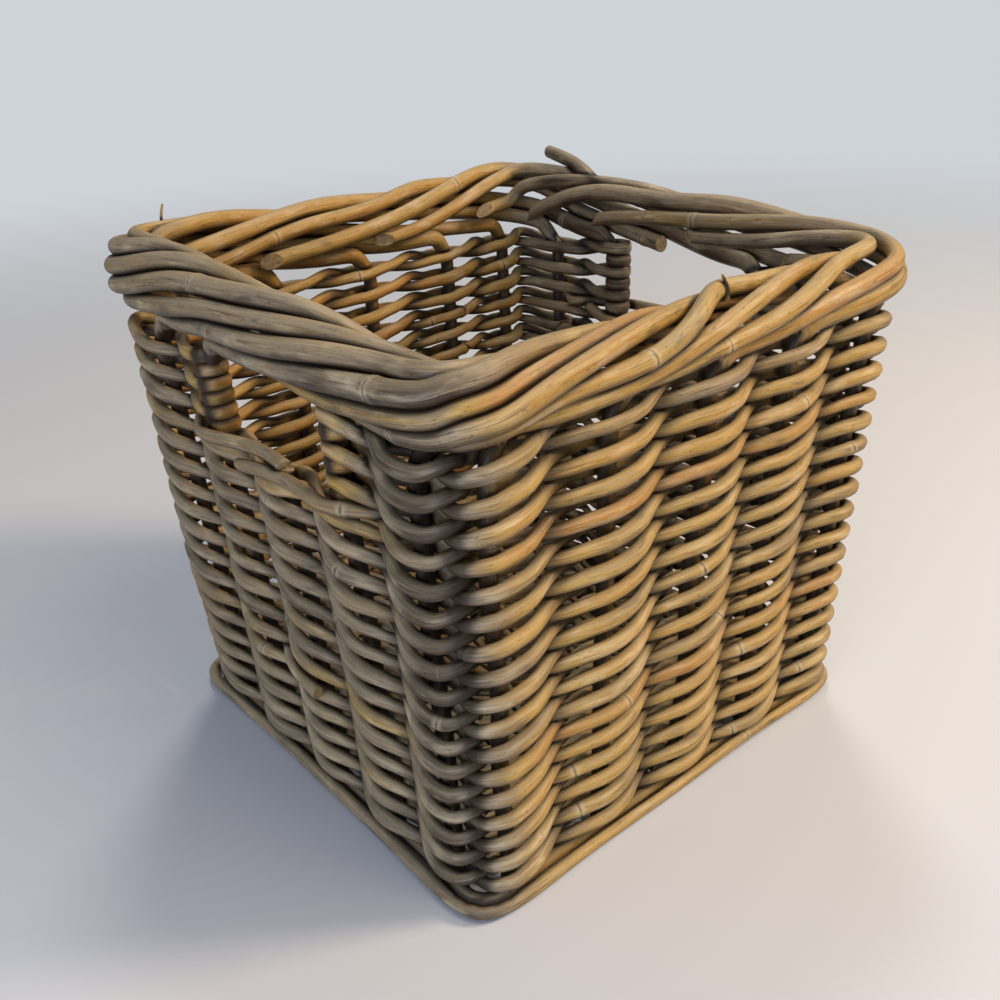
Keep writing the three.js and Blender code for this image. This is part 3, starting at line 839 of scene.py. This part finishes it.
def cane_finish(name, colours, bark, worn):
    """Kubu rattan, soaked in mud, dried and left unvarnished: grey to golden skin with long fine
    fibres, pale scuffs, dark specks and leaf joints, painted shade in the crevices and on the
    undersides, pale dust with a painted highlight on the upper sides and a dull satin sheen."""
    material, tree = new_material(name)
    marks = grain_marks(tree, ("fibre", "streak", "patch", "speck", "scar"))
    # The third attribute holds painted shade, darkest in the crevices
    shade, joint, painted_shade = (
        add_node(tree, "ShaderNodeAttribute", attribute_name=label).outputs["Fac"]
        for label in ("tone", "joint", "painted_shade")
    )
    for mark, share in (("patch", 0.75), ("streak", 0.5)):
        added = {0: marks[mark], 1: share, 2: shade}
        shade = add_node(tree, "ShaderNodeMath", added, operation="MULTIPLY_ADD")
    scaled = add_node(tree, "ShaderNodeMath", {0: shade, 1: TONE_SCALE}, operation="MULTIPLY")
    ramp = add_node(tree, "ShaderNodeValToRGB", {"Fac": scaled})
    while len(ramp.color_ramp.elements) < len(TONE_STOPS):
        ramp.color_ramp.elements.new(0.5)
    for element, (colour, place) in zip(ramp.color_ramp.elements, TONE_STOPS):
        element.position = place * TONE_SCALE
        element.color = (*getattr(colours, colour), 1)
    apart = add_node(tree, "ShaderNodeMath", {0: joint}, operation="ABSOLUTE")
    frayed = {0: marks["scar"], 1: 2.4, 2: apart}
    apart = add_node(tree, "ShaderNodeMath", frayed, operation="MULTIPLY_ADD").outputs[0]
    facing = add_node(tree, "ShaderNodeNewGeometry").outputs["Normal"]
    upward = add_node(tree, "ShaderNodeSeparateXYZ", {0: facing}).outputs["Z"]
    stains = (
        (marks["fibre"], 0.56, 0.7, 0.3, colours.pale),
        (marks["patch"], 0.54, 0.7, 0.34, colours.pale),
        (marks["fibre"], 0.46, 0.34, 0.5, colours.dark),
        (marks["patch"], 0.42, 0.28, 0.42, colours.dark),
        (marks["speck"], 0.65, 0.72, 0.6, colours.dark),
        (marks["scar"], 0.64 - bark, 0.73 - bark, 0.65, colours.dark),
        (apart, 4.6, 1.9, 0.3, colours.pale),
        (apart, 2.1, 1.2, 0.75, colours.dark),
        # Pale dust and a painted highlight on the upper sides
        (upward, 0.25, 0.95, 0.22, colours.pale),
        # Painted shade on the undersides
        (upward, 0.2, -0.85, 0.72, colours.dark),
        # Painted shade in the crevices and on the stakes behind the weave
        (painted_shade, 0.0, 0.8, 0.95, colours.dark),
    )
    colour = stain(tree, ramp.outputs["Color"], stains)
    wear = {0: marks["patch"], 1: 0.3, 2: 0.7, 3: worn + 0.1, 4: worn - 0.08}
    roughness = add_node(tree, "ShaderNodeMapRange", wear)
    relief = add_node(tree, "ShaderNodeMath", {0: marks["fibre"], 1: marks["streak"]}, operation="ADD")
    pitted = {0: marks["scar"], 1: -0.6, 2: relief}
    relief = add_node(tree, "ShaderNodeMath", pitted, operation="MULTIPLY_ADD")
    close_material(tree, colour, roughness, 0.4, relief, 0.7, 0.3 * MM)
    return material


def pith_finish(colours):
    """Rattan end grain, cut with shears: pale dull pith full of fine pores, browner at its edge."""
    material, tree = new_material(PITH_FINISH)
    marks = grain_marks(tree, ("pore", "scar"))
    stains = ((marks["scar"], 0.4, 0.6, 0.7, colours.tan), (marks["pore"], 0.5, 0.66, 0.6, colours.dark))
    colour = stain(tree, (*colours.pith, 1), stains)
    close_material(tree, colour, 0.8, 0.5, marks["pore"], 0.6, 0.2 * MM)
    return material


def finishes(kind):
    """The skin and the pith of a kind of cane, made once."""
    colours = bpy.context.scene.basket_cane
    name, bark, worn = FINISHES[kind]
    skin = bpy.data.materials.get(name) or cane_finish(name, colours, bark, worn)
    pith = bpy.data.materials.get(PITH_FINISH) or pith_finish(colours)
    return skin, pith


class BASKET_OT_weave_base(bpy.types.Operator):
    """Lay the base hoop, the base sticks and the doubled canes woven over and under them"""

    bl_idname = "basket.weave_base"
    bl_label = "Base Mat"

    def execute(self, context):
        random = np.random.default_rng(BASE_SEED)
        skins = finishes("base")
        travel = np.linspace(0, STAKES, 241)[:-1]
        out = HOOP_OUT + HOOP_CORNER_OUT * nearness(travel, 0, 0.4)
        points = wall_points(travel, out, HOOP_RADIUS, half_width(HOOP_RADIUS))
        tone = cane_tone(random, travel) + 0.15
        hoop = Cane(points, HOOP_SHARE * HOOP_RADIUS, tone, random, ROD_SIDES, closed=True)
        make_piece("base_hoop_rod", [hoop], "base_cane", ["base_hoop"], skins)
        rows = []
        for name in nodes_called("base_stick_"):
            low, high = node_box(name)
            _, row, height = (low + high) / 2
            rows.append(row)
            x = np.linspace(low[0] + 1, high[0] - 1, 60)
            line = np.stack([x, row + ripple(random, x / 20, 4, 0.6), 0 * x + height], -1)
            tone = 0.35 + ripple(random, x / 20, 6, 0.05)
            cane = Cane(line, BASE_STICK_RADIUS, tone, random)
            make_piece(f"{name}_cane", [cane], "base_cane", [name], skins)
        rows.sort()
        for number, name in enumerate(nodes_called("base_weaver_")):
            canes = self.doubled_canes(name, number, rows, height, random)
            make_piece(f"{name}_canes", canes, "base_cane", [name], skins)
        return {"FINISHED"}

    def doubled_canes(self, name, number, rows, height, random):
        """Two canes side by side, up one pass, round the turn and back down the next."""
        low, high = node_box(name)
        pitch = (high[0] - low[0] + 1) / 2
        first_x = low[0] + (pitch - 1) / 2
        y = np.linspace(rows[0] - 20, rows[-1] + 8, 90)
        wave = height - BASE_WEAVER_RADIUS - 0.25
        level = wave * np.cos(math.pi * (y - rows[0]) / (rows[1] - rows[0]))
        turn = np.linspace(0, math.pi, 12)[1:-1]
        canes = []
        for aside in (-BASE_WEAVER_RADIUS, BASE_WEAVER_RADIUS):
            up, down = (
                np.stack([0 * y + first_x + lap * pitch + way * aside, y, height + way * level], -1)
                for lap, way in ((0, 1), (1, -1))
            )
            reach = pitch / 2 - aside
            x = first_x + pitch / 2 - reach * np.cos(turn)
            z = up[-1][2] + (down[-1][2] - up[-1][2]) * turn / math.pi
            arc = np.stack([x, y[-1] + reach * np.sin(turn), z], -1)
            path = even_path(np.vstack([up, arc, down[::-1]]), 2.6, 2)
            path[:, 1] *= 1 if number % 2 == 0 else -1
            tone = 0.42 + random.normal(0, 0.1) + ripple(random, path[:, 1] / 25, 8, 0.06)
            canes.append(Cane(path, BASE_WEAVER_RADIUS, tone, random))
        return canes


class BASKET_OT_raise_stakes(bpy.types.Operator):
    """Raise the stakes and lay each one, and the two handle rods, round the border"""

    bl_idname = "basket.raise_stakes"
    bl_label = "Stakes and Border"

    def execute(self, context):
        settings = context.scene.basket_border
        random = np.random.default_rng(STAKE_SEED)
        table = oval_table()
        runs = [rod_line(stake, table, settings, random) for stake in range(STAKES)]
        lines, radii, lowest = (list(parts) for parts in zip(*runs))
        ease_apart(lines, radii, lowest)
        for stake, (line, radius, tint) in enumerate(zip(lines, radii, ROD_TONES)):
            wall = WALLS[stake // PER_WALL]
            top = BORDER_FOOT - BEND_BELOW_BORDER
            if stake in SHORT_STAKES:
                self.lay_piece(f"handle_rod_{wall}", line, radius, random, "border_cane", tint)
                line, radius, tint = np.empty((0, 3)), np.empty(0), 0.0
                top = STUB_TOP - STUB_SHORTER
            foot = self.upright(stake, top, random)
            path = np.vstack([foot, line])
            radius = np.concatenate([np.full(len(foot), STAKE_RADIUS), radius])
            name = f"stake_{wall}_{stake % PER_WALL + 1}"
            self.lay_piece(name, path, radius, random, "stake_cane", tint)
        return {"FINISHED"}

    def upright(self, stake, top, random):
        """Standing part of a stake, a little crooked."""
        level = np.linspace(STAKE_FOOT - 0.2, top, 60)
        travel = travel_of(stake + 0.5) + ripple(random, level / 20, 4, 0.8) / STAKE_SPACE
        offset = ripple(random, level / 18, 4, 0.35)
        return wall_points(travel, offset, level, half_width(level))

    def lay_piece(self, name, path, radius, random, slot, tint):
        """One stake or rod, cut across at its foot and on a slant where it ends in the border."""
        line = even_path(path, ROD_STEP, 5)
        before = distances(path)
        radius = np.interp(np.linspace(0, before[-1], len(line)), before, radius)
        smooth(radius, 8)
        tone = cane_tone(random, travel_round(line), 0.06) + tint
        slants = (0.2, 1.3 if line[-1][2] > BORDER_FOOT else 0.25)
        tilt = random.normal(math.pi / 4, 0.5)
        # Stakes take more of the wall's painted shade, as they stand behind the weave
        cane = Cane(line, radius, tone, random, ROD_SIDES, unit(line * (1, 1, 0)), slants=slants,
                    joint_gap=330, tilt=tilt, dirt=0.9)
        make_piece(f"{name}_cane", [cane], slot, [name], finishes("border"))


class BASKET_OT_weave_rounds(bpy.types.Operator):
    """Weave the full rounds of pairing between the stakes"""

    bl_idname = "basket.weave_rounds"
    bl_label = "Full Rounds"

    def execute(self, context):
        settings = context.scene.basket_weave
        for row in range(FULL_ROUNDS):
            random = np.random.default_rng(ROUND_SEED + row)
            fold = 2 * PER_WALL - 1 + (row % 2) * 2
            last = fold + STAKES - 1
            points, radius, _, travel = paired_round(settings, fold, last, row, random)
            tone = cane_tone(random, travel)
            cane = Cane(points, radius, tone, random, slants=(0.8, 0.8))
            name = f"weaver_round_{row + 1:02d}"
            make_piece(f"{name}_cane", [cane], "weave_cane", [name], finishes("weave"))
        return {"FINISHED"}


class BASKET_OT_weave_handles(bpy.types.Operator):
    """Weave the short rounds between the hand holes and wrap the stakes at their edges"""

    bl_idname = "basket.weave_handles"
    bl_label = "Hand Hole Rounds"

    def execute(self, context):
        for side, short in (("back", SHORT_STAKES[0]), ("front", SHORT_STAKES[1])):
            for number in range(HANDLE_ROUNDS):
                self.weave_half(context.scene.basket_weave, side, short + 1, number)
        for side, stake, way in (("left", SHORT_STAKES[1], 1), ("right", SHORT_STAKES[0], -1)):
            self.lay_edge(side, stake, way)
        return {"FINISHED"}

    def weave_half(self, settings, side, first, number):
        """One short round from hole to hole, with a loop below it round each edge stake."""
        last = first + 2 * PER_WALL - 2
        row = FULL_ROUNDS + number
        random = np.random.default_rng(HANDLE_SEEDS[side] + row)
        pitch = settings.wrap_pitch / MM
        edge = STUB_TOP + 1.5 + (2 * number + 1) * pitch
        points, radius, press, travel = paired_round(settings, first, last, row, random, edge)
        wrapped = (1 - press) / (1 - WRAP_PRESS)
        # Wrapped stretches take the wraps' painted light and shade
        tone = cane_tone(random, travel) * (1 - wrapped) + wrap_painted_light(travel) * wrapped
        canes = [Cane(points, radius, tone, random, closed=True, press=press)]
        for stake in (first, last):
            loop = wrap_loop(stake, edge - pitch, random)
            tone = wrap_painted_light(stake) + random.normal(0, 0.08)
            radius = settings.wrap_radius / MM
            canes.append(Cane(loop, radius, tone, random, closed=True, joint_gap=900, press=WRAP_PRESS))
        name = f"weaver_{side}_top_{number + 1}"
        make_piece(f"{name}_cane", canes, "weave_cane", [name], finishes("weave"))

    def lay_edge(self, side, stake, way):
        """Two dry canes along the lower edge of a hand hole, tucked in beside its wraps."""
        random = np.random.default_rng(EDGE_SEED + stake)
        canes = []
        for places in EDGE_CANES:
            aside, offset, height = spread(places, 90).T
            travel = travel_of(stake + 0.5) + way * aside
            points = wall_points(travel, offset, TOP_ROUND + height, half_width(TOP_ROUND))
            line = even_path(points, 2.5, 14)
            canes.append(Cane(line, EDGE_CANE_RADIUS, 0.3, random, slants=(0.6, 1.0), joint_gap=900,
                              tilt=math.pi / 2))
        make_piece(f"hole_edge_canes_{side}", canes, "weave_cane", [], finishes("weave"))


class BASKET_OT_leave_ends(bpy.types.Operator):
    """Leave the foot cane and the cut ends and twigs that stick out of the real basket"""

    bl_idname = "basket.leave_ends"
    bl_label = "Loose Ends"

    def execute(self, context):
        for number, (name, slot, tint, sides, places) in enumerate(LOOSE_ENDS):
            random = np.random.default_rng(END_SEED + number)
            line = spread(places, 40 * len(places))
            path = even_path(line[:, :3], 1.0 if sides == TWIG_SIDES else 2.5, 24)
            share = np.linspace(0, 1, len(line))
            radius = np.interp(np.linspace(0, 1, len(path)), share, line[:, 3])
            tone = cane_tone(random, travel_round(path), 0.0) + tint
            cane = Cane(path, radius, tone, random, sides, slants=(0.5, 0.3), joint_gap=600)
            finish = "border" if slot == "border_cane" else "weave"
            make_piece(name, [cane], slot, [], finishes(finish))
        return {"FINISHED"}


class BASKET_OT_paint_crevice_shade(bpy.types.Operator):
    """Paint shade into the crevices between the canes and on the stakes behind the weave"""

    bl_idname = "basket.settle_dirt"
    bl_label = "Painted Shade in the Crevices"

    def execute(self, context):
        if not LAID:
            self.report({"ERROR"}, "There are no canes yet")
            return {"CANCELLED"}
        shadings = crevice_painted_shade([cane for _, canes in LAID for cane in canes])
        for piece, canes in LAID:
            dirt = np.concatenate([next(shadings) for _ in canes])
            piece.data.attributes["painted_shade"].data.foreach_set("value", dirt.astype(np.float32))
        return {"FINISHED"}


# Camera at the photograph's viewing angle, in degrees and millimetres
CAMERA_AZIMUTH = -39.17
CAMERA_ELEVATION = 26.0
CAMERA_ROLL = -2.79
CAMERA_DISTANCE = 606.8
CAMERA_TARGET = (8.1, 13.3, 112.2)
FOCAL_PIXELS = 1056.7
PICTURE_PIXELS = 1000

# Lamps: kind, place in metres, size (degrees of a sun, metres of a disk), power and colour
LAMPS = (
    ("key", "AREA", (1.4, -1.15, 1.25), 0.5, 29.0, "#ffe0b8"),
    ("overhead", "SUN", (0.35, 0.4, 0.9), 12, 0.7, "#f6f1ea"),
    ("fill", "AREA", (-1.4, -0.75, 0.42), 1.1, 17.0, "#d3def4"),
    ("front", "AREA", (0.15, -0.75, 1.35), 0.9, 7.0, "#fff1dc"),
)
LAMP_AIM = (0, 0, 0.12)
SKY_COLOUR = "#e6ecf4"


class BASKET_OT_set_stage(bpy.types.Operator):
    """Set the pale floor, the soft lights and the camera"""

    bl_idname = "basket.set_stage"
    bl_label = "Stage"

    def execute(self, context):
        settings = context.scene.basket_stage
        self.lay_floor(settings)
        self.place_camera(context)
        self.hang_lamps(settings)
        self.light_surroundings(context, settings)
        context.scene.view_settings.view_transform = "Standard"
        return {"FINISHED"}

    def lay_floor(self, settings):
        reach, cells = 60.0, 24
        mesh = bpy.data.meshes.new("floor")
        steps = np.linspace(-reach, reach, cells + 1)
        verts = [(x, y, 0.0) for y in steps for x in steps]
        faces = []
        for row in range(cells):
            for column in range(cells):
                corner = row * (cells + 1) + column
                faces.append((corner, corner + 1, corner + cells + 2, corner + cells + 1))
        mesh.from_pydata(verts, [], faces)
        mesh.materials.append(self.floor_finish(settings))
        add_object("floor", mesh)

    def floor_finish(self, settings):
        """Matt paint, which the eye sees fade into the backdrop's colour away from the basket."""
        material, tree = new_material("matt_painted_floor")
        matt = {"Base Color": (*settings.floor, 1), "Roughness": 0.75}
        paint = add_node(tree, "ShaderNodeBsdfPrincipled", matt)
        far = add_node(tree, "ShaderNodeEmission", {"Color": (*settings.backdrop, 1), "Strength": 1.0})
        place = add_node(tree, "ShaderNodeNewGeometry").outputs["Position"]
        away = add_node(tree, "ShaderNodeVectorMath", {0: place}, operation="LENGTH").outputs["Value"]
        reach = {0: away, 1: 0.45, 2: 2.2, 3: 0.0, 4: 1.0}
        fade = add_node(tree, "ShaderNodeMapRange", reach, interpolation_type="SMOOTHSTEP")
        seen = add_node(tree, "ShaderNodeLightPath").outputs["Is Camera Ray"]
        share = add_node(tree, "ShaderNodeMath", {0: fade, 1: seen}, operation="MULTIPLY")
        mixed = add_node(tree, "ShaderNodeMixShader", {0: share, 1: paint, 2: far})
        add_node(tree, "ShaderNodeOutputMaterial", {"Surface": mixed})
        return material

    def place_camera(self, context):
        azimuth = math.radians(CAMERA_AZIMUTH)
        elevation = math.radians(CAMERA_ELEVATION)
        level = math.cos(elevation)
        back = Vector((math.sin(azimuth) * level, -math.cos(azimuth) * level, math.sin(elevation)))
        data = bpy.data.cameras.new("camera")
        data.sensor_width = 36.0
        data.lens = FOCAL_PIXELS / PICTURE_PIXELS * data.sensor_width
        data.clip_start = 0.01
        camera = add_object("camera", data)
        look = (-back).to_track_quat("-Z", "Y").to_matrix().to_4x4()
        roll = Matrix.Rotation(math.radians(CAMERA_ROLL), 4, "Z")
        place = Matrix.Translation((Vector(CAMERA_TARGET) + back * CAMERA_DISTANCE) * MM)
        camera.matrix_world = place @ look @ roll
        context.scene.camera = camera

    def hang_lamps(self, settings):
        """A warm lamp on the right, a soft sun, cool light from the left and a weak lamp in front."""
        for name, kind, place, size, power, colour in LAMPS:
            data = bpy.data.lights.new(name, kind)
            data.energy = power * settings.lamp_power
            data.color = linear(colour)
            if kind == "SUN":
                data.angle = math.radians(size)
            else:
                data.shape = "DISK"
                data.size = size
            lamp = add_object(name, data)
            lamp.location = place
            lamp.rotation_euler = (Vector(LAMP_AIM) - Vector(place)).to_track_quat("-Z", "Y").to_euler()

    def light_surroundings(self, context, settings):
        """Even light from all round, seen by the camera as the plain backdrop."""
        world = bpy.data.worlds.new("studio")
        world.use_nodes = True
        tree = world.node_tree
        tree.nodes.clear()
        even = {"Color": (*linear(SKY_COLOUR), 1), "Strength": settings.sky}
        sky = add_node(tree, "ShaderNodeBackground", even)
        plain = {"Color": (*settings.backdrop, 1), "Strength": 1.0}
        backdrop = add_node(tree, "ShaderNodeBackground", plain)
        seen = add_node(tree, "ShaderNodeLightPath").outputs["Is Camera Ray"]
        mixed = add_node(tree, "ShaderNodeMixShader", {0: seen, 1: sky, 2: backdrop})
        add_node(tree, "ShaderNodeOutputWorld", {"Surface": mixed})
        context.scene.world = world


class BASKET_PT_panel(bpy.types.Panel):
    """Sizes, colours and steps of the basket"""

    bl_label = "Rattan Basket"
    bl_idname = "BASKET_PT_panel"
    bl_space_type = "VIEW_3D"
    bl_region_type = "UI"
    bl_category = "Basket"

    def draw(self, context):
        for group in GROUPS:
            settings = getattr(context.scene, group)
            box = self.layout.box()
            for name in settings.bl_rna.properties.keys():
                if name not in ("rna_type", "name"):
                    box.prop(settings, name)
        for operator in OPERATORS:
            self.layout.operator(operator.bl_idname)


GROUPS = {
    "basket_weave": WeaveSettings,
    "basket_border": BorderSettings,
    "basket_cane": CaneSettings,
    "basket_stage": StageSettings,
}
OPERATORS = (
    BASKET_OT_weave_base,
    BASKET_OT_raise_stakes,
    BASKET_OT_weave_rounds,
    BASKET_OT_weave_handles,
    BASKET_OT_leave_ends,
    BASKET_OT_paint_crevice_shade,
    BASKET_OT_set_stage,
)
CLASSES = (*GROUPS.values(), *OPERATORS, BASKET_PT_panel)


def register():
    for cls in CLASSES:
        bpy.utils.register_class(cls)
    for name, group in GROUPS.items():
        setattr(bpy.types.Scene, name, PointerProperty(type=group))


def unregister():
    for name in GROUPS:
        delattr(bpy.types.Scene, name)
    for cls in reversed(CLASSES):
        bpy.utils.unregister_class(cls)


def main():
    register()
    bpy.ops.basket.weave_base()
    bpy.ops.basket.raise_stakes()
    bpy.ops.basket.weave_rounds()
    bpy.ops.basket.weave_handles()
    bpy.ops.basket.leave_ends()
    bpy.ops.basket.settle_dirt()
    bpy.ops.basket.set_stage()


if __name__ == "__main__":
    main()
